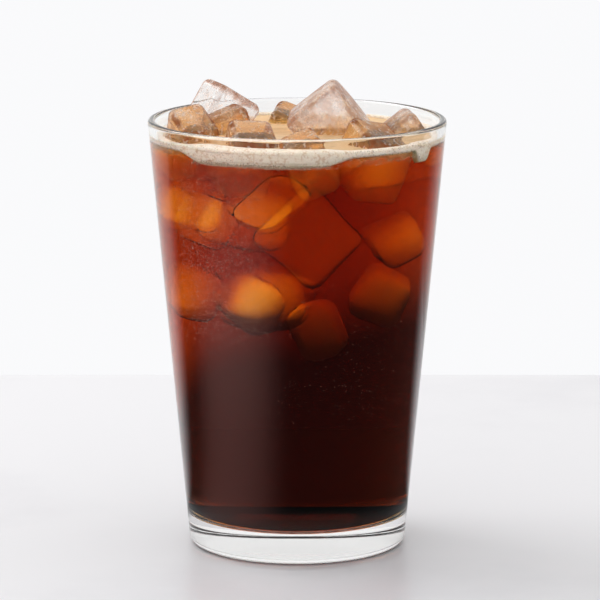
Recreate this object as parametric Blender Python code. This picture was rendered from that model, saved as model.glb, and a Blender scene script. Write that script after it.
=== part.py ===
"""Iced americano in a clear tapered tumbler: the glass, the drink, its foam and the ice that stands out.

Metres, +Z up, origin at the centre of the base, the photographed side towards -Y.
"""

import math

import bmesh
import bpy
import numpy as np
from mathutils import Euler, Matrix, Vector

# Tumbler
HEIGHT = 0.1280
RIM_RADIUS = 0.04415
HEEL_TOP_RADIUS = 0.0324
HEEL_RADIUS = 0.0028
LIP_RADIUS = 0.0011
WALL_THICKNESS = 0.0022
FLOOR_THICKNESS = 0.0090
FLOOR_FILLET = 0.0050
FOOT_INNER_RADIUS = 0.0262
FOOT_SLOPE = 0.0015
FOOT_RECESS = 0.0009

# Steps round the axis and along each arc of the profile
TURN_STEPS = 88
HEEL_STEPS = 5
LIP_STEPS = 8
FILLET_STEPS = 6
SMOOTH_ANGLE = 35.0

# Drink and foam
GAP = 0.0003
DRINK_LEVEL = 0.1234
FOAM_RISE = 0.0013
FOAM_THIN_RISE_SHARE = 0.55
FOAM_THIN_DEPTH = 0.0013
FOAM_THICK_DEPTH = 0.0040
FOAM_THIN_WIDTH = 0.0026
FOAM_THICK_WIDTH = 0.0058
FOAM_TOP_WIDTH_SHARE = 0.8
FOAM_BOTTOM_WIDTH_SHARE = 0.6
FOAM_BELLY_SHARE = 0.35
FOAM_TOP_FALL = 0.0002
FOAM_FRONT_AZIMUTH = 254.5
FOAM_FRONT_HALF_ANGLE = 32.5
FOAM_FADE_ANGLE = 14.0
FOAM_BLOB_DEPTH = 0.0050
FOAM_BLOB_WIDTH = 0.0038
FOAM_BLOB_AZIMUTH = 329.5
FOAM_BLOB_HALF_ANGLE = 4.5
FOAM_BLOB_FADE_ANGLE = 4.0
RIPPLE_WIDE = 0.00022
RIPPLE_FINE = 0.00016

# Ice: name, centre and size in millimetres, turn about X, Y and Z in degrees
ICE_ROUNDING = 0.0025
ICE_EDGE_STEPS = 3
ICE = (
    ("ice_back_left", (-23.0, 18.5, 126.0), (17, 14, 17), (5, 32, 32)),
    ("ice_left", (-31.0, -9.5, 122.5), (12, 15, 18), (30, -8, 25)),
    ("ice_mid_left", (-19.5, 3.0, 121.5), (14, 11, 18), (0, -20, 20)),
    ("ice_front_left", (-14.0, -19.5, 119.5), (14, 16, 18), (25, 5, 15)),
    ("ice_back", (-2.0, 26.5, 118.0), (16, 14, 18), (10, 20, -10)),
    ("ice_front", (3.0, -31.0, 119.5), (12, 12, 18), (15, -22, 10)),
    ("ice_centre", (9.5, 4.5, 125.5), (19, 17, 20), (5, -38, -5)),
    ("ice_front_right", (20.5, -19.0, 118.5), (15, 16, 20), (25, 12, 35)),
    ("ice_right", (31.5, 6.0, 122.0), (13, 14, 12), (0, -35, 10)),
)
MM = 0.001


def clear_scene():
    for obj in list(bpy.data.objects):
        bpy.data.objects.remove(obj, do_unlink=True)


def make_material(name, colour, roughness, transmission=0.0, ior=1.45):
    material = bpy.data.materials.new(name)
    material.use_nodes = True
    shader = material.node_tree.nodes["Principled BSDF"]
    shader.inputs["Base Color"].default_value = (*colour, 1.0)
    shader.inputs["Roughness"].default_value = roughness
    shader.inputs["Transmission Weight"].default_value = transmission
    shader.inputs["IOR"].default_value = ior
    material.diffuse_color = (*colour, 1.0)
    return material


def add_object(name, mesh, material):
    obj = bpy.data.objects.new(name, mesh)
    bpy.context.scene.collection.objects.link(obj)
    if material is not None:
        mesh.materials.append(material)
    mesh.shade_smooth()
    mesh.set_sharp_from_angle(angle=math.radians(SMOOTH_ANGLE))
    return obj


def mesh_of(name, points, faces):
    """A closed mesh with its faces turned outwards."""
    mesh = bpy.data.meshes.new(name)
    mesh.from_pydata(points, [], faces)
    bm = bmesh.new()
    bm.from_mesh(mesh)
    bmesh.ops.recalc_face_normals(bm, faces=bm.faces)
    bm.to_mesh(mesh)
    bm.free()
    return mesh


def outer_radius(z):
    """The outside of the tumbler's straight wall at height z."""
    low, high = HEEL_RADIUS, HEIGHT - LIP_RADIUS
    return HEEL_TOP_RADIUS + (RIM_RADIUS - HEEL_TOP_RADIUS) * (z - low) / (high - low)


def inner_radius(z):
    """The inside of the wall at height z, above the fillet at the floor."""
    return outer_radius(z) - WALL_THICKNESS


def arc(centre_r, centre_z, radius, start, end, steps):
    """Points on an arc in the (radius, height) plane, angles in degrees from outwards."""
    angles = np.radians(np.linspace(start, end, steps + 1))
    return [(centre_r + radius * math.cos(a), centre_z + radius * math.sin(a)) for a in angles]


def on_circle(radius, azimuth, z):
    a = math.radians(azimuth)
    return (radius * math.cos(a), radius * math.sin(a), z)


def turned(name, profile_at, material):
    """A body built round +Z from profile_at(azimuth in degrees), whose profiles start and end on the axis."""
    azimuths = [360.0 * i / TURN_STEPS for i in range(TURN_STEPS)]
    profiles = [profile_at(azimuth) for azimuth in azimuths]
    rings = len(profiles[0]) - 2
    points = [(0.0, 0.0, profiles[0][0][1])]
    for k in range(1, rings + 1):
        points += [on_circle(p[k][0], azimuth, p[k][1]) for p, azimuth in zip(profiles, azimuths)]
    points.append((0.0, 0.0, profiles[0][-1][1]))
    last = len(points) - 1
    top_ring = 1 + (rings - 1) * TURN_STEPS
    faces = []
    for i in range(TURN_STEPS):
        j = (i + 1) % TURN_STEPS
        faces.append((0, 1 + j, 1 + i))
        faces.append((last, top_ring + i, top_ring + j))
        for k in range(rings - 1):
            low = 1 + k * TURN_STEPS
            high = low + TURN_STEPS
            faces.append((low + i, low + j, high + j, high + i))
    return add_object(name, mesh_of(name, points, faces), material)


def fillet_profile(gap):
    """The inside from the floor's centre to the top of its fillet, moved in by gap."""
    floor = FLOOR_THICKNESS + gap
    top = floor + FLOOR_FILLET
    centre = inner_radius(top) - gap - FLOOR_FILLET
    return [(0.0, floor)] + arc(centre, top, FLOOR_FILLET, -90, 0, FILLET_STEPS)


def glass_profile():
    """From the underside's centre out over the foot, up the wall, over the lip and down to the floor."""
    foot = [(0.0, FOOT_RECESS), (FOOT_INNER_RADIUS - FOOT_SLOPE, FOOT_RECESS), (FOOT_INNER_RADIUS, 0.0)]
    heel = arc(HEEL_TOP_RADIUS - HEEL_RADIUS, HEEL_RADIUS, HEEL_RADIUS, -90, 0, HEEL_STEPS)
    lip = arc(RIM_RADIUS - LIP_RADIUS, HEIGHT - LIP_RADIUS, LIP_RADIUS, 0, 180, LIP_STEPS)
    return foot + heel + lip + fillet_profile(0.0)[::-1]


def arc_share(azimuth, middle, half_angle, fade_angle):
    """1 over an arc of the rim, 0 elsewhere, with a smooth change at its ends."""
    away = abs((azimuth - middle + 180.0) % 360.0 - 180.0)
    t = (half_angle - away) / fade_angle + 0.5
    t = min(1.0, max(0.0, t))
    return t * t * (3.0 - 2.0 * t)


def foam_sizes(azimuth):
    """The foam's depth under the drink's level, its width in from the wall and its top, at an azimuth."""
    a = math.radians(azimuth)
    share = arc_share(azimuth, FOAM_FRONT_AZIMUTH, FOAM_FRONT_HALF_ANGLE, FOAM_FADE_ANGLE)
    blob = arc_share(azimuth, FOAM_BLOB_AZIMUTH, FOAM_BLOB_HALF_ANGLE, FOAM_BLOB_FADE_ANGLE)
    ripple = RIPPLE_WIDE * math.sin(5.0 * a) + RIPPLE_FINE * math.sin(11.0 * a + 1.0)
    depth = FOAM_THIN_DEPTH + (FOAM_THICK_DEPTH - FOAM_THIN_DEPTH) * share + share * ripple
    depth += (FOAM_BLOB_DEPTH - FOAM_THIN_DEPTH) * blob
    width = FOAM_THIN_WIDTH + (FOAM_THICK_WIDTH - FOAM_THIN_WIDTH) * share + 2.0 * ripple
    width += (FOAM_BLOB_WIDTH - FOAM_THIN_WIDTH) * blob
    rise = FOAM_RISE * (FOAM_THIN_RISE_SHARE + (1.0 - FOAM_THIN_RISE_SHARE) * share)
    return depth, width, DRINK_LEVEL + rise


def foam_underside(azimuth, gap=0.0):
    """From the wall in along the bottom of the foam and up to the drink's level, moved out by gap."""
    depth, width, top = foam_sizes(azimuth)
    bottom = DRINK_LEVEL - depth
    wall = inner_radius(top) - GAP
    return [
        (inner_radius(bottom) - GAP, bottom - gap),
        (wall - FOAM_BOTTOM_WIDTH_SHARE * width - 0.5 * gap, bottom - gap),
        (wall - width - gap, bottom + FOAM_BELLY_SHARE * depth),
        (wall - width - gap, DRINK_LEVEL),
    ]


def foam_section(azimuth):
    """The closed outline of the foam at an azimuth: its underside and its top."""
    width, top = foam_sizes(azimuth)[1:]
    wall = inner_radius(top) - GAP
    crown = [(wall - FOAM_TOP_WIDTH_SHARE * width, top - FOAM_TOP_FALL), (wall, top)]
    return foam_underside(azimuth) + crown


def foam_ring(name, material):
    """The ring of froth against the wall, deeper and wider at the front."""
    points = []
    for i in range(TURN_STEPS):
        azimuth = 360.0 * i / TURN_STEPS
        points += [on_circle(r, azimuth, z) for r, z in foam_section(azimuth)]
    sides = len(points) // TURN_STEPS
    faces = []
    for i in range(TURN_STEPS):
        here = i * sides
        there = ((i + 1) % TURN_STEPS) * sides
        for k in range(sides):
            m = (k + 1) % sides
            faces.append((here + k, here + m, there + m, there + k))
    return add_object(name, mesh_of(name, points, faces), material)


def drink_profile(azimuth):
    """The floor, the wall and the step under the foam, up to the level of the drink."""
    step = foam_underside(azimuth, GAP)
    return fillet_profile(GAP) + step + [(0.0, DRINK_LEVEL)]


def ice_block(name, centre, size, turn, material, grow=0.0):
    """A cube with rounded edges. A grown copy is larger by the same distance all round."""
    bm = bmesh.new()
    bmesh.ops.create_cube(bm, size=1.0)
    for vert in bm.verts:
        vert.co = Vector([vert.co[i] * (size[i] * MM + 2.0 * grow) for i in range(3)])
    bmesh.ops.bevel(
        bm,
        geom=list(bm.edges) + list(bm.verts),
        offset=ICE_ROUNDING + grow,
        segments=ICE_EDGE_STEPS,
        profile=0.5,
        affect="EDGES",
        clamp_overlap=True,
    )
    euler = Euler([math.radians(a) for a in turn], "XYZ")
    place = Matrix.Translation(Vector(centre) * MM) @ euler.to_matrix().to_4x4()
    bmesh.ops.transform(bm, matrix=place, verts=bm.verts)
    bmesh.ops.recalc_face_normals(bm, faces=bm.faces)
    mesh = bpy.data.meshes.new(name)
    bm.to_mesh(mesh)
    bm.free()
    return add_object(name, mesh, material)


def subtract(target, cutter):
    """Cuts the cutter out of the target, and keeps it only as a hidden wire helper."""
    cutter.hide_render = True
    cutter.display_type = "WIRE"
    cut = target.modifiers.new("cut_" + cutter.name, "BOOLEAN")
    cut.operation = "DIFFERENCE"
    cut.solver = "EXACT"
    cut.object = cutter


def build():
    clear_scene()
    clear_glass = make_material("glass", (0.86, 0.90, 0.90), 0.03, 1.0, 1.5)
    coffee = make_material("drink", (0.12, 0.035, 0.015), 0.08)
    froth = make_material("foam", (0.80, 0.66, 0.48), 0.6)
    frozen = make_material("ice", (0.86, 0.80, 0.76), 0.12)

    turned("glass", lambda azimuth: glass_profile(), clear_glass)
    drink = turned("drink", drink_profile, coffee)
    foam = foam_ring("foam", froth)
    for name, centre, size, turn in ICE:
        ice_block(name, centre, size, turn, frozen)
        pocket = ice_block(name + "_pocket", centre, size, turn, None, GAP)
        subtract(drink, pocket)
        subtract(foam, pocket)


build()
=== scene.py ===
"""Iced americano in a clear tapered tumbler, dressed for the camera.

Metres, +Z up, the photographed side towards -Y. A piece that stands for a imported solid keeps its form.
"""

import logging
import math
from collections.abc import Callable
from dataclasses import dataclass, replace
from enum import Enum

import bmesh
import bpy
import numpy as np
from mathutils import Euler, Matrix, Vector

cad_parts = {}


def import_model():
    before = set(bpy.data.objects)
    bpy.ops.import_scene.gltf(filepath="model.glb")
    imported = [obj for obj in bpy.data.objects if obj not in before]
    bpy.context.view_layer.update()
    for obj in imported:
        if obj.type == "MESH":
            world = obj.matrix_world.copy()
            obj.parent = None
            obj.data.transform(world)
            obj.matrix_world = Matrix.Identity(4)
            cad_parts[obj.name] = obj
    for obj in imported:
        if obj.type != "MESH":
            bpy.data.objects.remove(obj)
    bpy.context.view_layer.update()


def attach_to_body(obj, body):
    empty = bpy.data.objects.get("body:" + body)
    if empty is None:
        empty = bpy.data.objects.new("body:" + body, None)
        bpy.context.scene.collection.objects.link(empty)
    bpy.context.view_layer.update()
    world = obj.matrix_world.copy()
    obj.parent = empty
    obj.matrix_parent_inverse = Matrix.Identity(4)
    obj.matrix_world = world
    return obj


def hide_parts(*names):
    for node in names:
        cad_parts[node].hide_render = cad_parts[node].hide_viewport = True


Triple = tuple[float, float, float]
Colour = Triple
Span = tuple[float, float]
Array = np.ndarray
Material = bpy.types.Material
Piece = bpy.types.Object
Socket = bpy.types.NodeSocket

LOG = logging.getLogger("iced_americano")
MM = 0.001
LEVEL = 0.1234
HAIR = 0.00002
FINE_TURN_STEPS = 224
GLASS_IOR = 1.5
WATER_IOR = 1.333
WHITE = (1.0, 1.0, 1.0)
PALE_ICE = (0.86, 0.78, 0.72)
PALE_GREY = (0.8, 0.8, 0.8)


class Slot(Enum):
    """The record's material slots."""

    GLASS = "glass"
    DRINK = "drink"
    FOAM = "foam"
    ICE = "ice"


class GlassFace(Enum):
    """The parts of the tumbler's surface, each with the number of its finish."""

    DRY = 0
    WETTED_WALL = 1
    WETTED_FILLET = 2
    WETTED_FLOOR = 3
    UNDERSIDE = 4


class IceLook(Enum):
    """How a standing cube looks above the drink."""

    CLEAR = "clear_ice"
    FROSTY = "frosty_ice"
    AMBER = "amber_ice"


# Shapes


@dataclass
class Surface:
    """A mesh in the making: points, faces as rows of point numbers, and a finish number for each face."""

    points: Array
    quads: Array
    triangles: Array
    quad_finish: Array
    triangle_finish: Array

    @classmethod
    def of(cls, points: Array, quads: Array, triangles: Array | None = None) -> "Surface":
        """A surface with finish 0 all over.

        Args:
            points: rows of x, y and z.
            quads: rows of four point numbers.
            triangles: rows of three point numbers, or None.

        Returns:
            The surface.
        """
        triangles = np.zeros((0, 3), int) if triangles is None else triangles
        return cls(points, quads, triangles, np.zeros(len(quads), int), np.zeros(len(triangles), int))

    def turned_inside_out(self) -> "Surface":
        """The same surface with its faces pointing the other way."""
        return replace(self, quads=self.quads[:, ::-1], triangles=self.triangles[:, ::-1])

    @classmethod
    def joined(cls, parts: list["Surface"]) -> "Surface":
        """One surface of several, with the point numbers of each moved past those before it.

        Args:
            parts: the surfaces to join, of quads only.

        Returns:
            The joined surface, whose finish is 0 all over.
        """
        starts = np.cumsum([0] + [len(part.points) for part in parts[:-1]])
        quads = [part.quads + start for part, start in zip(parts, starts)]
        return cls.of(np.concatenate([part.points for part in parts]), np.concatenate(quads))

    def object(self, name: str, finishes: list[Material], smooth: bool = True) -> Piece:
        """Makes an object with this surface as its mesh.

        Args:
            name: its name.
            finishes: its materials, in the order of the finish numbers.
            smooth: whether its shading is smooth.

        Returns:
            The object, linked to the scene.
        """
        mesh = bpy.data.meshes.new(name)
        mesh.from_pydata(self.points.tolist(), [], self.quads.tolist() + self.triangles.tolist())
        for finish in finishes:
            mesh.materials.append(finish)
        numbers = np.concatenate([self.quad_finish, self.triangle_finish]).astype(np.int32)
        mesh.polygons.foreach_set("material_index", numbers)
        mesh.polygons.foreach_set("use_smooth", np.full(len(numbers), smooth))
        mesh.update()
        obj = bpy.data.objects.new(name, mesh)
        bpy.context.scene.collection.objects.link(obj)
        return obj


def around(radius: Array, angle: Array, height: Array) -> Array:
    """Points round the axis: (radius cos angle, radius sin angle, height), with the angle in radians."""
    rows = np.broadcast_arrays(radius * np.cos(angle), radius * np.sin(angle), height)
    return np.stack(rows, -1).reshape(-1, 3)


def ring_quads(rings: int, steps: int, closed_section: bool = False) -> Array:
    """Quads of a surface that closes round the axis.

    Cell (k, i) joins points (k, i), (k, i + 1), (k + 1, i + 1) and (k + 1, i), where i goes round the axis.

    Args:
        rings: how many rings of points there are.
        steps: how many points each ring has.
        closed_section: whether the last ring joins the first.

    Returns:
        Rows of four point numbers.
    """
    k, i = np.meshgrid(np.arange(rings if closed_section else rings - 1), np.arange(steps), indexing="ij")
    j = (i + 1) % steps
    up = (k + 1) % rings
    return np.stack([k * steps + i, k * steps + j, up * steps + j, up * steps + i], -1).reshape(-1, 4)


def turned_surface(profile: Array, steps: int) -> Surface:
    """A body turned round +Z: point (k, i) is (r_k cos a_i, r_k sin a_i, z_k), with a pole at each end.

    Args:
        profile: rows of radius and height, from a point on the axis to another.
        steps: how many points go round the axis.

    Returns:
        The closed surface, whose finish is 0 all over.
    """
    angle = np.linspace(0.0, math.tau, steps, endpoint=False)
    radius, height = profile[1:-1, :1], profile[1:-1, 1:]
    grid = around(radius, angle, height)
    poles = np.array([[0.0, 0.0, profile[0, 1]], [0.0, 0.0, profile[-1, 1]]])
    i = np.arange(steps)
    j = (i + 1) % steps
    top = (len(radius) - 1) * steps
    first = np.stack([np.full(steps, len(grid)), j, i], -1)
    last = np.stack([np.full(steps, len(grid) + 1), top + i, top + j], -1)
    fans = np.concatenate([first, last])
    return Surface.of(np.concatenate([grid, poles]), ring_quads(len(radius), steps), fans)


def arc(centre: Span, radius: float, start: float, end: float, steps: int) -> Array:
    """Points on an arc in the plane of radius and height: the centre plus radius times (cos, sin).

    Args:
        centre: radius and height of the centre.
        radius: the arc's own radius.
        start: the first angle in degrees, from outwards.
        end: the last angle.
        steps: how many steps there are.

    Returns:
        Rows of radius and height.
    """
    angle = np.radians(np.linspace(start, end, steps + 1))
    return np.stack([centre[0] + radius * np.cos(angle), centre[1] + radius * np.sin(angle)], -1)


def smooth_step(t: Array) -> Array:
    """0 up to 0, 1 from 1 on, and 3t^2 - 2t^3 between."""
    t = np.clip(t, 0.0, 1.0)
    return t * t * (3.0 - 2.0 * t)


def bead_form() -> tuple[Array, Array]:
    """A twenty-faced bead of radius 1: the corners are (0, 1, g) and its turns, with g the golden ratio.

    Returns:
        Its 12 points and its 20 triangles, which face outwards.
    """
    g = (1.0 + math.sqrt(5.0)) / 2.0
    corners = np.array([(0.0, a, b * g) for a in (-1.0, 1.0) for b in (-1.0, 1.0)]) / math.sqrt(1.0 + g * g)
    points = np.concatenate([np.roll(corners, turn, axis=1) for turn in (0, -1, 1)])
    near = np.linalg.norm(points[:, None] - points[None], axis=-1) < 1.1
    i, j, k = np.meshgrid(*[np.arange(12)] * 3, indexing="ij")
    keep = (i < j) & (j < k) & near[i, j] & near[j, k] & near[i, k]
    faces = np.stack([i[keep], j[keep], k[keep]], -1)
    corner = points[faces]
    normal = np.cross(corner[:, 1] - corner[:, 0], corner[:, 2] - corner[:, 0])
    inward = np.einsum("ij,ij->i", normal, corner[:, 0]) < 0
    faces[inward] = faces[inward][:, ::-1]
    return points, faces


def scattered_beads(centres: Array, radii: Array) -> Surface:
    """One surface of many beads: bead n is the twenty-faced form times radius n, moved to centre n.

    Args:
        centres: rows of x, y and z.
        radii: the beads' radii.

    Returns:
        The joined surface.
    """
    form, faces = bead_form()
    points = (centres[:, None] + form[None] * radii[:, None, None]).reshape(-1, 3)
    numbers = (faces[None] + len(form) * np.arange(len(centres))[:, None, None]).reshape(-1, 3)
    return Surface.of(points, np.zeros((0, 4), int), numbers)


# Node graphs


class Graph:
    """Adds nodes to a node tree and joins them."""

    def __init__(self, tree: bpy.types.NodeTree) -> None:
        """Empties the tree, and keeps its nodes and links."""
        tree.nodes.clear()
        self.nodes = tree.nodes
        self.links = tree.links

    def put(self, value: object, target: Socket) -> None:
        """Joins a socket to an input, or writes a value in it.

        Args:
            value: a socket, a number or a colour.
            target: the input.
        """
        if isinstance(value, Socket):
            self.links.new(value, target)
        elif target.type == "RGBA":
            target.default_value = (*value, 1.0)
        else:
            target.default_value = value

    def add(self, kind: str, inputs: dict | None = None, **settings: object) -> bpy.types.NodeOutputs:
        """Adds a node.

        Args:
            kind: the node's type, without ShaderNode in front.
            inputs: for each input, by name or number, a socket to join to it or a value.
            settings: the node's own properties.

        Returns:
            The node's outputs.
        """
        node = self.nodes.new("ShaderNode" + kind)
        for name, value in settings.items():
            setattr(node, name, value)
        for name, value in (inputs or {}).items():
            self.put(value, node.inputs[name])
        return node.outputs

    def number(self, operation: str, *values: object) -> Socket:
        """The result of a Math node on sockets and numbers."""
        return self.add("Math", dict(enumerate(values)), operation=operation)[0]

    def fade(self, value: Socket, over: Span, result: Span = (0.0, 1.0)) -> Socket:
        """A number that goes smoothly through the result's span as the value goes over its own."""
        limits = dict(zip(("Value", "From Min", "From Max", "To Min", "To Max"), (value, *over, *result)))
        return self.add("MapRange", limits, interpolation_type="SMOOTHSTEP")["Result"]

    def place(self) -> Socket:
        """The place on the piece, in metres."""
        return self.add("TexCoord")["Object"]

    def parts(self, place: Socket) -> tuple[Socket, ...]:
        """X, Y and Z of a place."""
        return tuple(self.add("SeparateXYZ", {0: place}))

    def reach(self, x: Socket, y: Socket) -> Socket:
        """How far a place is from the glass's axis."""
        return self.number("SQRT", self.number("MULTIPLY_ADD", x, x, self.number("MULTIPLY", y, y)))

    def noise(self, place: Socket, scale: float, detail: float = 3.0) -> Socket:
        """Soft noise between about 0.3 and 0.7, with the given number of waves to the metre."""
        look = {"Vector": place, "Scale": scale, "Detail": detail, "Roughness": 0.55}
        return self.add("TexNoise", look)[0]

    def blend(self, share: Socket, first: object, second: object) -> Socket:
        """The first colour where the share is 0, the second where it is 1."""
        return self.add("Mix", {0: share, 6: first, 7: second}, data_type="RGBA")[2]

    def mix(self, share: object, first: Socket, second: Socket) -> Socket:
        """The first shader where the share is 0, the second where it is 1."""
        return self.add("MixShader", {0: share, 1: first, 2: second})[0]

    def glow(self, colour: object, strength: object = 1.0) -> Socket:
        """A surface that gives light."""
        return self.add("Emission", {"Color": colour, "Strength": strength})[0]

    def milk(self, colour: object, through: float = 0.5) -> Socket:
        """A cloudy surface, which sends back part of the light and lets the share named come through."""
        front = self.add("BsdfDiffuse", {"Color": colour})[0]
        return self.mix(through, front, self.add("BsdfTranslucent", {"Color": colour})[0])

    def clear(
        self, colour: object, ior: float, joint: bool = False, coat: float = 0.0, **details: object
    ) -> Socket:
        """A clear surface, which only refracts where it is a joint and otherwise also reflects.

        Args:
            colour: a colour or a socket.
            ior: how strongly it bends light.
            joint: whether it lies in another clear piece.
            coat: how wet it shines over that.
            details: its Roughness and its Normal, where it isn't smooth.

        Returns:
            The shader.
        """
        look: dict[str, object] = {"IOR": ior, "Roughness": 0.0} | details
        if joint:
            return self.add("BsdfRefraction", {"Color": colour, **look})[0]
        look |= {"Base Color": colour, "Transmission Weight": 1.0}
        look |= {"Coat Weight": coat, "Coat Roughness": 0.03}
        return self.add("BsdfPrincipled", look)[0]

    def output(self, surface: Socket, inside: Socket | None = None) -> None:
        """Ends a material with its surface and, for a body that takes light away, its inside."""
        ends = {"Surface": surface} | ({"Volume": inside} if inside is not None else {})
        self.add("OutputMaterial", ends)


# Materials


class Finish:
    """What all finishes share: a name, a colour for where no graph is read, and a graph that they fill."""

    name: str
    colour: Colour

    def fill(self, graph: Graph) -> None:
        """Adds the finish's nodes."""
        raise NotImplementedError

    def material(self) -> Material:
        """Makes the material.

        Returns:
            The material, with its graph filled.
        """
        material = bpy.data.materials.new(self.name)
        material.use_nodes = True
        material.diffuse_color = (*self.colour, 1.0)
        self.fill(Graph(material.node_tree))
        return material


@dataclass(frozen=True)
class ClearBody(Finish):
    """A see-through finish.

    Where two clear pieces overlap by a hair, light crosses two faces for one real boundary. A joint finish
    has no mirror reflection of its own, so such a pair neither shines nor takes light away. One that shines
    inside still reflects what comes from within its own body. One with a middle has that colour round the
    glass's axis, up to the middle's edge.
    """

    name: str
    ior: float
    colour: Colour = WHITE
    joint: bool = False
    shines_inside: bool = False
    white_share: float = 0.0
    white: Colour = (0.9, 0.9, 0.9)
    middle: Colour | None = None
    middle_edge: Span = (0.013, 0.022)

    def fill(self, graph: Graph) -> None:
        """Adds the finish's nodes."""
        colour = self.colour
        if self.middle:
            x, y, _ = graph.parts(graph.place())
            colour = graph.blend(graph.fade(graph.reach(x, y), self.middle_edge), self.middle, self.colour)
        surface = graph.clear(colour, self.ior, self.joint)
        if self.shines_inside:
            within = graph.add("NewGeometry")["Backfacing"]
            surface = graph.mix(within, surface, graph.clear(WHITE, self.ior))
        if self.white_share:
            surface = graph.mix(self.white_share, surface, graph.milk(self.white))
        graph.output(surface)


@dataclass(frozen=True)
class CoffeeFinish(Finish):
    """The drink: clear, with its colour in its depth, and a film of fine froth in patches on its top."""

    name: str = "coffee"
    colour: Colour = (0.12, 0.03, 0.01)
    density: float = 210.0
    let_through: Colour = (0.8265, 0.60, 0.05)
    film: Colour = (0.82, 0.56, 0.32)
    film_scale: float = 160.0
    film_share: Span = (0.70, 0.90)

    def fill(self, graph: Graph) -> None:
        """Adds the nodes of a clear body with an absorbing inside, which shines only at its top."""
        place = graph.place()
        film = graph.add("BsdfDiffuse", {"Color": self.film})[0]
        patches = graph.fade(graph.noise(place, self.film_scale), (0.35, 0.65), self.film_share)
        shiny = graph.mix(patches, graph.clear(WHITE, WATER_IOR), film)
        plain = graph.clear(WHITE, WATER_IOR, joint=True)
        top = graph.number("GREATER_THAN", graph.parts(place)[2], LEVEL - HAIR)
        inside = {"Color": self.let_through, "Density": self.density}
        depth = graph.add("VolumeAbsorption", inside)[0]
        graph.output(graph.mix(top, plain, shiny), depth)


@dataclass(frozen=True)
class IceFinish(Finish):
    """Melting ice: clear between frosted patches, with brown painted shade where it turns away, and stained
    near the drink.
    """

    name: str
    frost_share: Span
    clean_heights: Span
    edge_share: float = 0.95
    ior: float = 1.15
    colour: Colour = PALE_ICE
    frost: Colour = (0.97, 0.81, 0.73)
    stain: Colour = (0.95, 0.60, 0.26)
    # The brown of the painted shade where the ice turns from the view or has an edge.
    edge: Colour = (0.40, 0.14, 0.05)
    crystal: Colour = (1.0, 0.95, 0.92)
    spot: Colour = (0.66, 0.34, 0.15)
    soaked_heights: Span = (0.1240, 0.1275)
    roughness: float = 0.05
    coat: float = 0.8
    patch_scale: float = 260.0
    grain_scale: float = 1800.0
    stain_scale: float = 120.0
    edge_scale: float = 170.0
    crystal_scale: float = 650.0
    spot_scale: float = 330.0

    def painted_edge_shade(self, graph: Graph, place: Socket) -> Socket:
        """How much brown painted shade the ice has: most where it turns away or has an edge, broken up by
        noise.

        Args:
            graph: the finish's graph.
            place: the place on the piece.

        Returns:
            The share.
        """
        # Painted shade: darker brown where the surface turns from the view and along the rounded edges.
        facing = graph.add("LayerWeight", {"Blend": 0.5})["Facing"]
        edge = graph.add("Attribute", attribute_name="edge")["Fac"]
        turned = graph.number("MAXIMUM", graph.fade(facing, (0.35, 0.85)), graph.fade(edge, (0.25, 0.85)))
        broken = graph.fade(graph.noise(place, self.edge_scale), (0.40, 0.56), (0.3, self.edge_share))
        return graph.number("MULTIPLY", turned, broken)

    def fill(self, graph: Graph) -> None:
        """Adds the finish's nodes."""
        place = graph.place()
        z = graph.parts(place)[2]
        patches = graph.noise(place, self.patch_scale, 4.0)
        uneven = graph.number("MULTIPLY_ADD", graph.noise(place, self.grain_scale, 2.0), 0.2, patches)
        frosted = graph.fade(uneven, (0.50, 0.74), self.frost_share)
        wander = graph.noise(place, self.stain_scale, 2.0)
        height = graph.number("MULTIPLY_ADD", wander, 0.030, graph.number("ADD", z, -0.015))
        clean = graph.fade(height, self.clean_heights)
        painted_edge_shade = self.painted_edge_shade(graph, place)
        soaked = graph.fade(z, self.soaked_heights, (0.35, 0.0))
        crystals = graph.fade(graph.noise(place, self.crystal_scale, 2.0), (0.56, 0.66), (0.0, 0.7))
        spots = graph.fade(graph.noise(place, self.spot_scale), (0.50, 0.68), (0.0, 0.6))
        cloudy = graph.number("MAXIMUM", frosted, crystals)
        cloudy = graph.number("MAXIMUM", cloudy, graph.number("MAXIMUM", painted_edge_shade, soaked))
        milk = graph.blend(clean, self.stain, self.frost)
        milk = graph.blend(spots, milk, self.spot)
        # The painted shade's brown goes over the milk.
        milk = graph.blend(painted_edge_shade, milk, self.edge)
        milk = graph.blend(crystals, milk, self.crystal)
        relief = {"Strength": 0.5, "Distance": 0.0004, "Height": uneven}
        bump = graph.add("Bump", relief)[0]
        tint = graph.blend(clean, self.stain, WHITE)
        body = graph.clear(tint, self.ior, coat=self.coat, Roughness=self.roughness, Normal=bump)
        graph.output(graph.mix(cloudy, body, graph.milk(milk, 0.6)))


@dataclass(frozen=True)
class WetIceFinish(Finish):
    """Standing ice under the drink: as clear as the coffee, with fine froth on it just under the level."""

    name: str = "wet_ice"
    colour: Colour = PALE_ICE
    froth_depth: float = 0.0040
    white: Colour = (1.0, 0.78, 0.48)
    white_share: Span = (0.06, 0.85)

    def fill(self, graph: Graph) -> None:
        """Adds the finish's nodes."""
        place = graph.place()
        z = graph.number("ADD", graph.parts(place)[2], -0.002)
        wander = graph.number("MULTIPLY_ADD", graph.noise(place, 300.0), 0.004, z)
        heights = (LEVEL - self.froth_depth, LEVEL - 0.25 * self.froth_depth)
        body = graph.clear(WHITE, WATER_IOR, joint=True)
        graph.output(graph.mix(graph.fade(wander, heights, self.white_share), body, graph.milk(self.white)))


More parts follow.
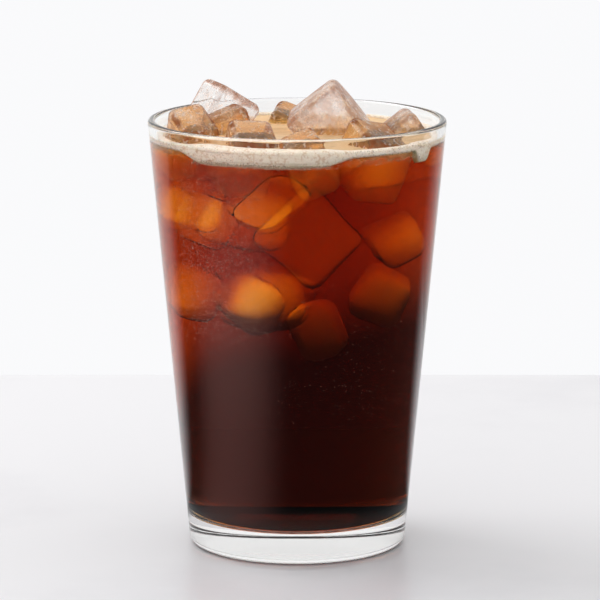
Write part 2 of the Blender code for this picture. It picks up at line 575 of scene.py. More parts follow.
@dataclass(frozen=True)
class FrothFinish(Finish):
    """Fine creamy froth: pale cells with a darker gap here and there."""

    name: str = "froth"
    colour: Colour = (0.97, 0.84, 0.70)
    dark: Colour = (0.72, 0.50, 0.32)
    cell_scale: float = 1500.0
    gap_scale: float = 500.0

    def fill(self, graph: Graph) -> None:
        """Adds the finish's nodes."""
        place = graph.place()
        cells = graph.add("TexVoronoi", {"Vector": place, "Scale": self.cell_scale})[0]
        thin = graph.fade(graph.noise(place, self.gap_scale), (0.42, 0.60), (0.0, 0.75))
        gaps = graph.number("MULTIPLY", graph.fade(cells, (0.35, 0.75)), thin)
        relief = {"Strength": 0.4, "Distance": 0.0003, "Height": cells}
        look = {
            "Base Color": graph.blend(gaps, self.colour, self.dark),
            "Roughness": 0.5,
            "Subsurface Weight": 0.3,
            "Subsurface Radius": (0.0012, 0.0009, 0.0006),
            "Subsurface Scale": 1.0,
            "Normal": graph.add("Bump", relief, invert=True)[0],
        }
        graph.output(graph.add("BsdfPrincipled", look)[0])


@dataclass(frozen=True)
class DropFinish(Finish):
    """Fine drops and bubbles: part clear, part milky."""

    name: str
    colour: Colour
    milky: float

    def fill(self, graph: Graph) -> None:
        """Adds the finish's nodes."""
        milk = graph.add("BsdfDiffuse", {"Color": self.colour})[0]
        graph.output(graph.mix(self.milky, graph.clear(WHITE, WATER_IOR, Roughness=0.1), milk))


@dataclass(frozen=True)
class StoneFinish(Finish):
    """The pale table top.

    What reflects sees it pale close to the glass and behind it, and elsewhere a painted reflection: a glow,
    rosy with a painted highlight in a soft strip at the front left and dark around it. What shows through
    the drink, past more than four surfaces, sees a dim glow of painted shade, dark as it lies in the drink's
    own shade.
    """

    name: str = "pale_stone"
    colour: Colour = PALE_GREY
    pale: Colour = (0.80, 0.79, 0.81)
    vein: Colour = (0.73, 0.72, 0.745)
    roughness: float = 0.35
    # Glows that reflections see instead of the table: a dark painted reflection and a rosy painted
    # highlight.
    painted_dark_reflection: Colour = (0.05, 0.05, 0.05)
    painted_highlight_strip: Colour = (1.40, 0.72, 0.66)
    shade: float = 0.07
    shade_share: float = 0.9

    def strip(self, graph: Graph, x: Socket, y: Socket, reach: Socket) -> Socket:
        """How strong the painted highlight strip is: most towards the front left, and less near the glass
        and far from it.

        Args:
            graph: the finish's graph.
            x: the place across the table.
            y: the place along it.
            reach: how far the place is from the axis.

        Returns:
            The share.
        """
        along = graph.number("MULTIPLY_ADD", x, -0.817, graph.number("MULTIPLY", y, -0.576))
        strip = graph.fade(graph.number("DIVIDE", along, reach), (0.55, 1.08), (0.0, 1.05))
        near = graph.fade(reach, (0.10, 0.20), (0.7, 1.0))
        strip = graph.number("MULTIPLY", graph.number("POWER", strip, 2.0), near)
        return graph.number("MULTIPLY", strip, graph.fade(reach, (0.22, 0.36), (1.0, 0.4)))

    def fill(self, graph: Graph) -> None:
        """Adds the finish's nodes."""
        ground = graph.place()
        pale = graph.blend(graph.fade(graph.noise(ground, 5.0, 8.0), (0.50, 0.66)), self.pale, self.vein)
        look = {"Base Color": pale, "Roughness": self.roughness}
        stone = graph.add("BsdfPrincipled", look)[0]
        x, y, _ = graph.parts(ground)
        reach = graph.reach(x, y)
        close = graph.fade(reach, (0.040, 0.075), (1.0, 0.0))
        rear = graph.number("DIVIDE", graph.number("MULTIPLY_ADD", x, -0.08, y), reach)
        pale_place = graph.number("MAXIMUM", close, graph.fade(rear, (0.45, 0.80)))
        path = graph.add("LightPath")
        # Away from the glass and behind it, reflections see a painted reflection, a glow, instead of the
        # stone.
        mirrored = graph.number("MULTIPLY", graph.number("SUBTRACT", 1.0, pale_place), path["Is Glossy Ray"])
        # Light that crossed the drink sees a dim glow here, painted shade.
        crossed = graph.number("GREATER_THAN", path["Transmission Depth"], 4.5)
        crossed = graph.number("MULTIPLY", crossed, self.shade_share)
        seen = graph.number("MULTIPLY", crossed, path["Is Transmission Ray"])
        room = graph.blend(self.strip(graph, x, y, reach), self.painted_dark_reflection, self.painted_highlight_strip)
        plain = graph.mix(seen, stone, graph.glow(WHITE, self.shade))
        graph.output(graph.mix(mirrored, plain, graph.glow(room)))


@dataclass(frozen=True)
class BacklightFinish(Finish):
    """The glow of a lit backdrop behind a table.

    Light that came through the drink sees it bright above the height of the table's edge and dark under it,
    so the lower half of the drink stays deep and the upper half glows. Other light sees it evenly pale.
    """

    name: str = "backlight"
    colour: Colour = PALE_GREY
    even: float = 0.95
    low: float = 0.15
    high: float = 2.4
    scattered_share: float = 0.6
    edge_heights: Span = (-0.030, 0.020)
    edge_slope: float = 0.10

    def fill(self, graph: Graph) -> None:
        """Adds the finish's nodes."""
        x, _, z = graph.parts(graph.place())
        path = graph.add("LightPath")
        through = graph.number("GREATER_THAN", path["Transmission Depth"], 5.5)
        spread = graph.number("GREATER_THAN", path["Diffuse Depth"], 0.5)
        through = graph.number("MAXIMUM", through, graph.number("MULTIPLY", spread, self.scattered_share))
        high = graph.number("MULTIPLY_ADD", through, self.high - self.even, self.even)
        low = graph.number("MULTIPLY_ADD", through, self.low - self.even, self.even)
        height = graph.number("MULTIPLY_ADD", graph.number("MINIMUM", x, 0.0), self.edge_slope, z)
        share = graph.fade(height, self.edge_heights)
        strength = graph.number("MULTIPLY_ADD", share, graph.number("SUBTRACT", high, low), low)
        graph.output(graph.glow(WHITE, strength))


# The tumbler


@dataclass(frozen=True)
class Tumbler:
    """The clear tapered glass, in the sizes of its solid."""

    height: float = 0.1280
    rim_radius: float = 0.04415
    heel_top_radius: float = 0.0324
    heel_radius: float = 0.0028
    lip_radius: float = 0.0011
    wall: float = 0.0022
    floor: float = 0.0090
    fillet: float = 0.0050
    foot_inner_radius: float = 0.0262
    foot_slope: float = 0.0015
    foot_recess: float = 0.0009
    foot_even_from: float = 0.0004
    even_from: float = 0.0006
    shiny_fillet_share: float = 0.25
    heel_steps: int = 12
    lip_steps: int = 20
    fillet_steps: int = 14

    def outside(self, z: Array | float) -> Array | float:
        """The outer radius of the straight wall at height z: it grows evenly from the heel to the lip."""
        share = (z - self.heel_radius) / (self.height - self.lip_radius - self.heel_radius)
        return self.heel_top_radius + (self.rim_radius - self.heel_top_radius) * share

    def inside(self, z: Array | float) -> Array | float:
        """The inner radius of the wall at height z."""
        return self.outside(z) - self.wall

    def floor_profile(self, outwards: float) -> Array:
        """The inside from the floor's centre to the top of its fillet, moved outwards into the glass.

        Args:
            outwards: how far the profile lies inside the glass.

        Returns:
            Rows of radius and height.
        """
        floor = self.floor - outwards
        top = floor + self.fillet
        centre = (float(self.inside(top)) + outwards - self.fillet, top)
        return np.concatenate([[[0.0, floor]], arc(centre, self.fillet, -90.0, 0.0, self.fillet_steps)])

    def profile(self) -> Array:
        """The section from the underside's centre over the foot, up, over the lip and down to the floor.

        A ring of points near each end of the straight walls keeps their smooth shading even, and one lies on
        the inner wall at the drink's level.

        Returns:
            Rows of radius and height.
        """
        outer_end = self.foot_inner_radius
        inner_end = outer_end - self.foot_slope
        radii = [0.0, inner_end - self.foot_even_from, inner_end, outer_end, outer_end + self.foot_even_from]
        foot = np.stack([radii, [self.foot_recess] * 3 + [0.0] * 2], -1)
        heel_centre = (self.heel_top_radius - self.heel_radius, self.heel_radius)
        heel = arc(heel_centre, self.heel_radius, -90.0, 0.0, self.heel_steps)
        lip_centre = (self.rim_radius - self.lip_radius, self.height - self.lip_radius)
        lip = arc(lip_centre, self.lip_radius, 0.0, 180.0, self.lip_steps)
        top = self.height - self.lip_radius - self.even_from
        outer = np.array([self.heel_radius + self.even_from, top])
        inner = np.array([top, LEVEL, self.floor + self.fillet + self.even_from])
        outer = np.stack([self.outside(outer), outer], -1)
        inner = np.stack([self.inside(inner), inner], -1)
        return np.concatenate([foot, heel, outer, lip, inner, self.floor_profile(0.0)[::-1]])

    def build(self, finishes: dict[GlassFace, Material]) -> Piece:
        """The glass, with its wetted inside and its underside in finishes of their own.

        Args:
            finishes: the finish of each part of its surface.

        Returns:
            The glass.
        """
        surface = turned_surface(self.profile(), FINE_TURN_STEPS)
        middle = surface.points[surface.quads].mean(axis=1)
        z = middle[:, 2]
        inner = np.hypot(middle[:, 0], middle[:, 1]) < self.inside(z) + 0.5 * self.wall
        wetted = inner & (z > 0.8 * self.floor)
        shiny_top = self.floor + self.shiny_fillet_share * self.fillet
        surface.quad_finish[wetted & (z < LEVEL)] = GlassFace.WETTED_WALL.value
        surface.quad_finish[wetted & (z < shiny_top)] = GlassFace.WETTED_FILLET.value
        surface.quad_finish[inner & (z < 1.1 * self.foot_recess)] = GlassFace.UNDERSIDE.value
        above = surface.points[surface.triangles].mean(axis=1)[:, 2] > 0.8 * self.floor
        floor, underside = GlassFace.WETTED_FLOOR.value, GlassFace.UNDERSIDE.value
        surface.triangle_finish[:] = np.where(above, floor, underside)
        return surface.object("tumbler", [finishes[face] for face in GlassFace])


# The ice


@dataclass(frozen=True)
class Cube:
    """One ice cube: its centre and size are in millimetres, and its turn about X, Y and Z in degrees."""

    name: str
    centre: Triple
    size: Triple
    turn: Triple
    look: IceLook = IceLook.AMBER


STANDING_ICE = (
    Cube("ice_back_left", (-23.0, 18.5, 126.0), (17, 14, 17), (5, 32, 32), IceLook.CLEAR),
    Cube("ice_left", (-31.0, -9.5, 122.5), (12, 15, 18), (30, -8, 25)),
    Cube("ice_mid_left", (-19.5, 3.0, 121.5), (14, 11, 18), (0, -20, 20)),
    Cube("ice_front_left", (-14.0, -19.5, 119.5), (14, 16, 18), (25, 5, 15)),
    Cube("ice_back", (-2.0, 26.5, 118.0), (16, 14, 18), (10, 20, -10)),
    Cube("ice_front", (3.0, -31.0, 119.5), (12, 12, 18), (15, -22, 10)),
    Cube("ice_centre", (9.5, 4.5, 125.5), (19, 17, 20), (5, -38, -5), IceLook.FROSTY),
    Cube("ice_front_right", (20.5, -19.0, 118.5), (15, 16, 20), (25, 12, 35)),
    Cube("ice_right", (31.5, 6.0, 122.0), (13, 14, 12), (0, -35, 10), IceLook.FROSTY),
)
SUNKEN_ICE = (
    Cube("sunken_a", (3.0, -22.0, 96.8), (25, 14, 24), (0, 44, 3)),
    Cube("sunken_b", (-22.5, -12.5, 101.0), (15, 17, 17), (15, 18, 30)),
    Cube("sunken_c", (24.5, -10.5, 95.0), (17, 17, 16), (15, -25, 25)),
    Cube("sunken_d", (-21.5, 12.0, 103.5), (15, 16, 17), (14, 8, -12)),
    Cube("sunken_e", (-5.6, 6.0, 105.0), (14, 24, 19), (4, 38, 4)),
    Cube("sunken_g", (-8.5, 26.0, 98.0), (17, 16, 19), (14, 12, 4)),
    Cube("sunken_s", (-31.2, 10.0, 114.6), (12, 15.5, 14), (12, 6, 8)),
    Cube("sunken_u", (13.5, 27.5, 112.6), (15, 15, 15), (16, -6, -20)),
    Cube("sunken_w", (6.2, -8.2, 114.8), (10.5, 11, 12.5), (12, 0, 4)),
    Cube("sunken_r", (-30.0, 0.2, 103.4), (14, 13, 16), (14, 8, 8)),
    Cube("sunken_i", (-11.8, -20.3, 78.6), (16.5, 16, 17.5), (18, 33, 20)),
    Cube("sunken_j", (5.4, -22.0, 69.5), (14, 16, 19), (10, -18, -8)),
    Cube("sunken_k", (21.8, -14.3, 78.6), (17, 17, 17), (20, 28, 20)),
    Cube("sunken_l", (-24.0, -1.0, 78.0), (16, 18, 17), (14, 15, 8)),
    Cube("sunken_m", (-7.5, 2.0, 76.3), (18, 18, 20), (10, -12, 18)),
    Cube("sunken_n", (-6.0, 20.5, 74.0), (17, 15, 19), (10, 14, 15)),
)


@dataclass(frozen=True)
class IceForm:
    """The worn shape that all the cubes share."""

    rounding: float = 0.0027
    flat_share: float = 0.5
    wear: float = 0.0006
    steps: int = 22
    wave: float = 240.0

    def grid(self) -> tuple[Array, Array]:
        """A grid cube between -1 and 1, whose faces share the points along its edges.

        Returns:
            Its points, and the quads of its six faces.
        """
        line = np.linspace(-1.0, 1.0, self.steps + 1)
        u, v = np.meshgrid(line, line, indexing="ij")
        one = np.ones_like(u)
        sides = [(one, u, v), (-one, v, u), (v, one, u), (u, -one, v), (u, v, one), (v, u, -one)]
        grid = np.concatenate([np.stack(side, -1).reshape(-1, 3) for side in sides])
        row = self.steps + 1
        i, j = np.meshgrid(np.arange(self.steps), np.arange(self.steps), indexing="ij")
        corner = i * row + j
        cell = np.stack([corner, corner + row, corner + row + 1, corner + 1], -1).reshape(-1, 4)
        quads = np.concatenate([cell + side * row * row for side in range(6)])
        t, number = np.unique(np.round(grid, 6), axis=0, return_inverse=True)
        return t, number.reshape(-1)[quads]

    def edge_share(self) -> Array:
        """For each point 0 on the flat of a face and 1 along an edge, from the second largest part of t."""
        second = np.sort(np.abs(self.grid()[0]), axis=1)[:, 1]
        return smooth_step((second - 0.8 * self.flat_share) / (1.0 - 0.8 * self.flat_share))

    def shell(self, cube: Cube, seed: int, outwards: float = 0.0) -> Surface:
        """A worn cube over the six faces of a grid cube, whose point t has each part between -1 and 1.

        The part of t up to flat_share runs along the flat of a face, and the rest turns by 0 to 45 degrees,
        a, over the rounding. The point is the clamped core plus (rounding - worn) times the unit vector
        along (tan a_x, tan a_y, tan a_z). Worn goes from 0 to wear with the mean of three sine waves.

        Args:
            cube: where and how large the cube is.
            seed: the number that sets its waves.
            outwards: how far the whole shell is moved out along its normals.

        Returns:
            The closed shell.
        """
        t, quads = self.grid()
        half = 0.5 * MM * np.array(cube.size)
        rounding = min(self.rounding, 0.84 * half.min())
        core = np.clip(t / self.flat_share, -1.0, 1.0) * (half - rounding)
        lean = np.clip((np.abs(t) - self.flat_share) / (1.0 - self.flat_share), 0.0, 1.0) * math.pi / 4.0
        normal = np.sign(t) * np.tan(lean)
        normal /= np.linalg.norm(normal, axis=1)[:, None]
        rng = np.random.default_rng(seed)
        waves = np.zeros(len(t))
        for _ in range(3):
            direction = rng.normal(size=3)
            direction *= self.wave * rng.uniform(0.6, 1.5) / np.linalg.norm(direction)
            waves += np.sin((core + rounding * normal) @ direction + rng.uniform(0.0, math.tau)) / 3.0
        local = core + normal * (rounding - self.wear * 0.5 * (1.0 - waves) + outwards)[:, None]
        turn = np.array(Euler([math.radians(a) for a in cube.turn], "XYZ").to_matrix())
        return Surface.of(local @ turn.T + MM * np.array(cube.centre), quads)


@dataclass(frozen=True)
class Ice:
    """All the ice cubes: the standing ones, and the sunken ones, which have melted rounder."""

    fresh: IceForm = IceForm()
    melted: IceForm = IceForm(rounding=0.0050, flat_share=0.30, wear=0.0024)
    first_sunken_seed: int = 100

    def standing(self, outwards: float = 0.0) -> dict[Cube, Surface]:
        """The shell of each cube that stands out of the drink."""
        return {cube: self.fresh.shell(cube, seed, outwards) for seed, cube in enumerate(STANDING_ICE)}

    def sunken(self, outwards: float = 0.0) -> dict[Cube, Surface]:
        """The shell of each cube that is wholly under the drink."""
        numbered = enumerate(SUNKEN_ICE, self.first_sunken_seed)
        return {cube: self.melted.shell(cube, seed, outwards) for seed, cube in numbered}

    def build(self, dry: dict[IceLook, Material], wet: Material, sunken: Material) -> dict[str, Piece]:
        """The cubes, each an object of its own.

        Args:
            dry: the finishes of the standing cubes above the drink.
            wet: their finish under it.
            sunken: the finish of the cubes that are wholly under it.

        Returns:
            The objects by the cubes' names.
        """
        made = {}
        for cube, surface in self.standing().items():
            height = surface.points[surface.quads].mean(axis=1)[:, 2]
            surface.quad_finish[height < LEVEL] = 1
            made[cube.name] = surface.object(cube.name.replace("ice_", "cube_"), [dry[cube.look], wet])
            edge = made[cube.name].data.attributes.new("edge", "FLOAT", "POINT")
            edge.data.foreach_set("value", self.fresh.edge_share())
        for cube, surface in self.sunken().items():
            made[cube.name] = surface.object(cube.name, [sunken])
        return made


# The drink


@dataclass(frozen=True)
class Drink:
    """The coffee, up to its level, with the places of the ice left out of it."""

    tumbler: Tumbler
    ice: Ice
    into_wall: float = 0.00005
    into_ice: float = 0.00002
    into_sunken_ice: float = 0.00001
    wall_rings: int = 12
    top_ring_share: float = 0.6

    def profile(self) -> Array:
        """From the floor's centre up the wall to the level and back to the axis.

        Returns:
            Rows of radius and height.
        """
        lowest = self.tumbler.floor + self.tumbler.fillet + self.tumbler.even_from
        rings = np.linspace(lowest, LEVEL, self.wall_rings)
        wall = np.stack([self.tumbler.inside(rings) + self.into_wall, rings], -1)
        top = np.array([[self.top_ring_share * wall[-1, 0], LEVEL], [0.0, LEVEL]])
        return np.concatenate([self.tumbler.floor_profile(self.into_wall), wall, top])

    def build(self, coffee: Material) -> Piece:
        """The drink, with pockets cut out for the standing cubes and hollows joined in for the sunken ones.

        Args:
            coffee: the drink's finish.

        Returns:
            The drink.
        """
        drink = turned_surface(self.profile(), FINE_TURN_STEPS).object("coffee", [coffee])
        shells = self.ice.standing(-self.into_ice).values()
        cutter = Surface.joined(list(shells)).object("pockets", [coffee])
        cut = drink.modifiers.new("pockets", "BOOLEAN")
        cut.operation = "DIFFERENCE"
        cut.solver = "EXACT"
        cut.object = cutter
        graph = bpy.context.evaluated_depsgraph_get()
        cut_mesh = bpy.data.meshes.new_from_object(drink.evaluated_get(graph))
        drink.modifiers.clear()
        bpy.data.objects.remove(cutter)
        shells = self.ice.sunken(-self.into_sunken_ice).values()
        hollow = Surface.joined([shell.turned_inside_out() for shell in shells]).object("hollows", [coffee])
        drink.data = join_meshes("coffee", [cut_mesh, hollow.data])
        bpy.data.objects.remove(hollow)
        return drink


def folded_flaps(bm: bmesh.types.BMesh) -> list[bmesh.types.BMFace]:
    """Finds the pairs of faces on the same points, which lie back to back and hold nothing between them.

    Args:
        bm: the mesh.

    Returns:
        The faces of all such pairs.
    """
    bm.verts.index_update()
    twins: dict[frozenset[int], list[bmesh.types.BMFace]] = {}
    for face in bm.faces:
        twins.setdefault(frozenset(vert.index for vert in face.verts), []).append(face)
    return [face for pair in twins.values() if len(pair) > 1 for face in pair]


def join_meshes(name: str, meshes: list[bpy.types.Mesh]) -> bpy.types.Mesh:
    """Makes one closed mesh of several, with sharp edges where the faces meet at more than 40 degrees.

    Points that a cut left closer than a hair are merged, and what that leaves flat is taken away.

    Args:
        name: the new mesh's name.
        meshes: the meshes to join, which share their first material.

    Returns:
        The joined mesh.
    """
    bm = bmesh.new()
    for mesh in meshes:
        bm.from_mesh(mesh)
    bmesh.ops.remove_doubles(bm, verts=bm.verts, dist=HAIR)
    bmesh.ops.triangulate(bm, faces=[face for face in bm.faces if len(face.verts) > 4])
    bmesh.ops.dissolve_degenerate(bm, dist=0.5 * HAIR, edges=bm.edges)
    bmesh.ops.delete(bm, geom=folded_flaps(bm), context="FACES")
    joined = bpy.data.meshes.new(name)
    bm.to_mesh(joined)
    bm.free()
    joined.materials.append(meshes[0].materials[0])
    joined.polygons.foreach_set("use_smooth", np.ones(len(joined.polygons), bool))
    joined.set_sharp_from_angle(angle=math.radians(40.0))
    return joined


# The froth


@dataclass(frozen=True)
class Froth:
    """The ring of froth against the wall, deeper at the front."""

    tumbler: Tumbler
    rise: float = 0.0013
    thin_rise_share: float = 0.55
    thin_depth: float = 0.0013
    thick_depth: float = 0.0040
    thin_width: float = 0.0026
    thick_width: float = 0.0058
    front_azimuth: float = 254.5
    front_half_angle: float = 32.5
    fade_angle: float = 14.0
    blob_depth: float = 0.0050
    blob_width: float = 0.0038
    blob_azimuth: float = 329.5
    blob_half_angle: float = 4.5
    blob_fade_angle: float = 4.0
    coarse_ripple: float = 0.00022
    fine_ripple: float = 0.00016
    into_wall: float = 0.0001
    steps: int = 1080
    section_steps: int = 40

    @staticmethod
    def arc_share(azimuth: Array, middle: float, half_angle: float, fade_angle: float) -> Array:
        """1 over an arc of the rim and 0 elsewhere, with a smooth change at its ends, all in degrees."""
        away = np.abs((azimuth - middle + 180.0) % 360.0 - 180.0)
        return smooth_step((half_angle - away) / fade_angle + 0.5)

    def section_sizes(self, azimuth: Array) -> tuple[Array, Array, Array]:
        """The froth's section round the rim, rippled by two sine waves of five and eleven turns.

        Args:
            azimuth: where to give it, in degrees.

        Returns:
            The depth under the level, the width and the height of the top.
        """
        share = self.arc_share(azimuth, self.front_azimuth, self.front_half_angle, self.fade_angle)
        blob = self.arc_share(azimuth, self.blob_azimuth, self.blob_half_angle, self.blob_fade_angle)
        a = np.radians(azimuth)
        ripple = self.coarse_ripple * np.sin(5.0 * a) + self.fine_ripple * np.sin(11.0 * a + 1.0)
        depth = self.thin_depth + (self.thick_depth - self.thin_depth) * share + share * ripple
        depth += (self.blob_depth - self.thin_depth) * blob
        width = self.thin_width + (self.thick_width - self.thin_width) * share + 2.0 * ripple
        width += (self.blob_width - self.thin_width) * blob
        rise = self.rise * (self.thin_rise_share + (1.0 - self.thin_rise_share) * share)
        return depth, width, LEVEL + rise

    def build(self, froth: Material) -> Piece:
        """The ring: at each azimuth a rounded oblong between the wall, the top and the underside.

        Args:
            froth: its finish.

        Returns:
            The ring.
        """
        azimuth = np.linspace(0.0, 360.0, self.steps, endpoint=False)
        depth, width, top = self.section_sizes(azimuth)
        turn = np.linspace(0.0, math.tau, self.section_steps, endpoint=False)[:, None]
        across = np.sign(np.cos(turn)) * np.abs(np.cos(turn)) ** 0.5
        along = np.sign(np.sin(turn)) * np.abs(np.sin(turn)) ** 0.6
        height = top - (top - LEVEL + depth) * 0.5 * (1.0 - along)
        radius = self.tumbler.inside(height) + self.into_wall - width * 0.5 * (1.0 - across)
        points = around(radius, np.radians(azimuth), height)
        return Surface.of(points, ring_quads(self.section_steps, self.steps, True)).object("froth", [froth])


# Bubbles and drops


@dataclass(frozen=True)
class BeadField:
    """Fine beads centred on a side of the wall, in a patch that thins out towards its edges."""

    name: str
    count: int
    seed: int
    azimuths: Span
    heights: Span
    radii: Span

    @staticmethod
    def inner_share(value: Array, span: Span) -> Array:
        """1 in the middle half of a span, with a smooth fall to 0 at both its ends."""
        low, high = span
        from_low = smooth_step(4.0 * (value - low) / (high - low))
        return from_low * smooth_step(4.0 * (high - value) / (high - low))

    def build(self, radius_at: Callable, finish: Material) -> Piece:
        """The beads: a random place keeps its bead where a random number is under the patch's shares there.

        Args:
            radius_at: gives the radius of the surface that the beads sit on at a height.
            finish: their finish.

        Returns:
            One object of all the beads.
        """
        rng = np.random.default_rng(self.seed)
        azimuth = rng.uniform(*self.azimuths, 8 * self.count)
        z = rng.uniform(*self.heights, 8 * self.count)
        density = self.inner_share(azimuth, self.azimuths) * self.inner_share(z, self.heights)
        keep = np.nonzero(rng.uniform(size=len(z)) < density)[0][: self.count]
        azimuth, z = azimuth[keep], z[keep]
        size = self.radii[0] + (self.radii[1] - self.radii[0]) * rng.uniform(size=len(z)) ** 3.0
        centres = around(radius_at(z), np.radians(azimuth), z)
        return scattered_beads(centres, size).object(self.name, [finish])


@dataclass(frozen=True)
class Beads:
    """The water drops on the outside of the glass, and the bubbles of the froth on its inside."""

    tumbler: Tumbler
    drops: tuple[BeadField, ...] = (
        BeadField("condensation", 5200, 1, (208.0, 262.0), (0.062, 0.128), (0.00006, 0.00013)),
        BeadField("stray_drops", 1200, 2, (180.0, 360.0), (0.030, 0.122), (0.00004, 0.00009)),
    )
    bubbles: tuple[BeadField, ...] = (
        BeadField("froth_edge", 1300, 3, (219.0, 290.0), (0.1190, 0.1204), (0.00008, 0.00022)),
        BeadField("froth_side", 1100, 4, (284.0, 336.0), (0.1190, 0.1250), (0.00006, 0.00018)),
        BeadField("froth_left", 700, 5, (182.0, 222.0), (0.1205, 0.1240), (0.00007, 0.00022)),
    )

    def build(self, drop: Material, bubble: Material) -> list[tuple[Piece, Slot]]:
        """The fields of beads, each one object.

        Args:
            drop: the finish of the water drops.
            bubble: the finish of the bubbles.

        Returns:
            The objects, each with the slot of the thing it lies on.
        """
        made = [(field.build(self.tumbler.outside, drop), Slot.GLASS) for field in self.drops]
        return made + [(field.build(self.tumbler.inside, bubble), Slot.FOAM) for field in self.bubbles]


# The studio


@dataclass(frozen=True)
class Studio:
    """The camera, the table, the soft surroundings, the backlight and the key light."""

    camera_back: float = 1.2
    camera_height: float = 0.3032
    pitch: float = 10.846
    lens: float = 246.3
    shift_x: float = 0.0046
    backdrop: Colour = (0.955, 0.957, 0.970)
    table_low: Triple = (-2.0, -1.5, -0.03)
    table_high: Triple = (2.0, 0.24, -0.00004)
    backlight_radius: float = 0.6
    backlight_heights: Span = (-0.9, 1.5)
    backlight_steps: int = 96
    key_place: Triple = (-0.7, 0.35, 0.9)
    key_aim: Triple = (0.0, 0.0, 0.06)
    key_size: float = 0.7
    key_power: float = 4.5

    def camera(self) -> None:
        """The camera at the photograph's angle."""
        data = bpy.data.cameras.new("camera")
        data.lens = self.lens
        data.sensor_width = 36.0
        data.shift_x = self.shift_x
        data.clip_end = 20.0
        obj = bpy.data.objects.new("camera", data)
        obj.location = (0.0, -self.camera_back, self.camera_height)
        obj.rotation_euler = (math.radians(90.0 - self.pitch), 0.0, 0.0)
        bpy.context.scene.collection.objects.link(obj)
        bpy.context.scene.camera = obj

    def surroundings(self) -> None:
        """The backdrop that the camera sees, and what rays from the object and the table see instead.

        What reflects sees white behind and above and a dark room in front. The rest sees a bright room that
        is a little dimmer in front.
        """
        world = bpy.data.worlds.new("studio")
        bpy.context.scene.world = world
        world.use_nodes = True
        graph = Graph(world.node_tree)
        x, y, z = graph.parts(graph.add("TexCoord")["Generated"])
        path = graph.add("LightPath")
        behind = graph.fade(graph.number("MULTIPLY_ADD", x, -0.2, y), (0.35, 1.1), (0.0, 0.95))
        above = graph.fade(z, (0.15, 0.6), (0.0, 0.95))
        mirrored = graph.number("ADD", graph.number("MAXIMUM", behind, above), 0.015)
        room = graph.fade(y, (-0.6, 0.6), (0.82, 1.0))
        soft = graph.add("Background", {"Color": WHITE, "Strength": room})[0]
        mirror = graph.add("Background", {"Color": WHITE, "Strength": mirrored})[0]
        seen = graph.add("Background", {"Color": self.backdrop})[0]
        light = graph.mix(path["Is Glossy Ray"], soft, mirror)
        light = graph.mix(path["Is Camera Ray"], light, seen)
        graph.add("OutputWorld", {"Surface": light})

    def table(self) -> None:
        """The pale table top, a flat slab."""
        low, high = np.array(self.table_low), np.array(self.table_high)
        corner = np.array([[x, y, z] for x in (0, 1) for y in (0, 1) for z in (0, 1)])
        quads = [[0, 1, 3, 2], [4, 6, 7, 5], [0, 4, 5, 1], [2, 3, 7, 6], [0, 2, 6, 4], [1, 5, 7, 3]]
        slab = Surface.of(low + corner * (high - low), np.array(quads))
        slab.object("table", [StoneFinish().material()], smooth=False)

    def backlight(self) -> None:
        """A tall ring round the table that only rays through something clear can see."""
        angle = np.linspace(0.0, math.tau, self.backlight_steps, endpoint=False)
        points = around(self.backlight_radius, angle, np.array(self.backlight_heights)[:, None])
        faces = ring_quads(2, self.backlight_steps)[:, ::-1]
        ring = Surface.of(points, faces).object("backlight", [BacklightFinish().material()])
        for kind in ("camera", "diffuse", "glossy", "volume_scatter", "shadow"):
            setattr(ring, "visible_" + kind, False)

    def key_light(self) -> None:
        """The soft key light from the upper left."""
        data = bpy.data.lights.new("key", "AREA")
        data.shape = "RECTANGLE"
        data.size = data.size_y = self.key_size
        data.energy = self.key_power
        obj = bpy.data.objects.new("key", data)
        obj.location = self.key_place
        away = Vector(self.key_aim) - Vector(self.key_place)
        obj.rotation_euler = away.to_track_quat("-Z", "Y").to_euler()
        bpy.context.scene.collection.objects.link(obj)

    def colour_management(self) -> None:
        """Plain colours, and enough bounces for a ray to cross the wall, the drink and several cubes."""
        scene = bpy.context.scene
        scene.view_settings.view_transform = "Standard"
        scene.cycles.max_bounces = 40
        scene.cycles.transmission_bounces = 40
        scene.cycles.glossy_bounces = 6
        scene.cycles.diffuse_bounces = 3
        scene.cycles.transparent_max_bounces = 24
        scene.cycles.sample_clamp_indirect = 4.0

    def build(self) -> None:
        """Builds everything that isn't part of the object."""
        self.colour_management()
        self.camera()
        self.surroundings()
        self.table()
        self.backlight()
        self.key_light()


# The whole


def attach(obj: Piece, nodes: list[str]) -> None:
    """Fixes a piece to the part, and reports it.

    Args:
        obj: the piece.
        nodes: the CAD nodes that it stands for.
    """
    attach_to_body(obj, "root")
    if nodes:
        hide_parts(*nodes)
    LOG.info("%s: %d faces, stands for %s", obj.name, len(obj.data.polygons), ", ".join(nodes) or "nothing")


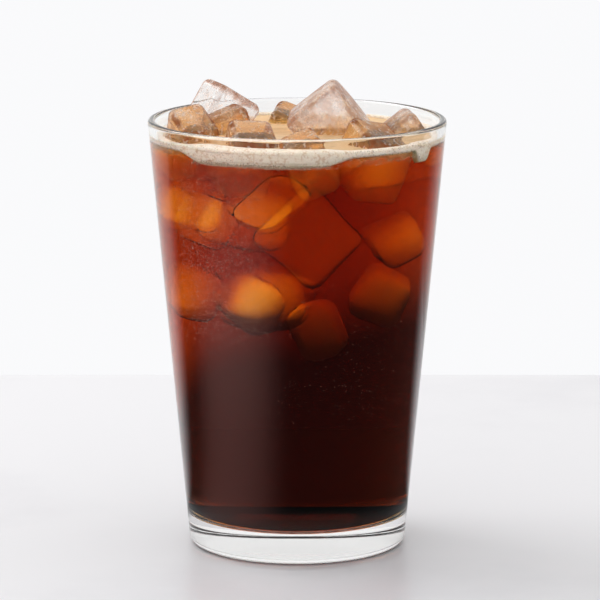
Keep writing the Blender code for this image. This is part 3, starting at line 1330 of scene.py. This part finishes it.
def glass_finishes() -> dict[GlassFace, Material]:
    """The finish of each part of the tumbler's surface.

    Returns:
        The materials by the part.
    """
    clear = ClearBody("clear_glass", GLASS_IOR, (0.985, 0.99, 0.988))
    fillet = ClearBody("wetted_fillet", GLASS_IOR, joint=True, shines_inside=True)
    # Painted shade: the wetted floor lets little light through, dark with a lighter middle round the axis,
    # so the drink's bottom stays deep.
    dark, middle = (0.012, 0.004, 0.002), (0.05, 0.016, 0.006)
    finishes = {
        GlassFace.DRY: clear,
        GlassFace.WETTED_WALL: ClearBody("wetted_glass", GLASS_IOR, joint=True),
        GlassFace.WETTED_FILLET: fillet,
        GlassFace.WETTED_FLOOR: replace(fillet, name="wetted_floor_painted_shade", colour=dark, middle=middle),
        GlassFace.UNDERSIDE: replace(clear, name="underside", white_share=0.15),
    }
    return {face: finish.material() for face, finish in finishes.items()}


def main() -> None:
    """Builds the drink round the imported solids, piece by piece."""
    logging.basicConfig(level=logging.INFO, format="%(name)s: %(message)s")
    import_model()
    Studio().build()
    tumbler = Tumbler()
    ice = Ice()

    attach(tumbler.build(glass_finishes()), ["glass"])
    attach(Drink(tumbler, ice).build(CoffeeFinish().material()), ["drink"])
    attach(Froth(tumbler).build(FrothFinish().material()), ["foam"])

    dry = {
        IceLook.CLEAR: IceFinish("clear_ice", (0.02, 0.20), (0.1180, 0.1230), edge_share=0.8, ior=1.04),
        IceLook.FROSTY: IceFinish("frosty_ice", (0.28, 0.72), (0.1200, 0.1290), edge_share=0.7),
        IceLook.AMBER: IceFinish("amber_ice", (0.12, 0.42), (0.1230, 0.1380)),
    }
    dry = {look: finish.material() for look, finish in dry.items()}
    sunken = ClearBody("sunken_ice", 1.327, joint=True, white_share=0.02, white=(1.0, 0.56, 0.14))
    for name, cube in ice.build(dry, WetIceFinish().material(), sunken.material()).items():
        attach(cube, [name] if name.startswith("ice_") else [])

    drop = DropFinish("water_drop", (0.95, 0.60, 0.44), 0.35).material()
    bubble = DropFinish("froth_bubble", (0.90, 0.72, 0.54), 0.55).material()
    for field, slot in Beads(tumbler).build(drop, bubble):
        attach(field, [])


if __name__ == "__main__":
    main()
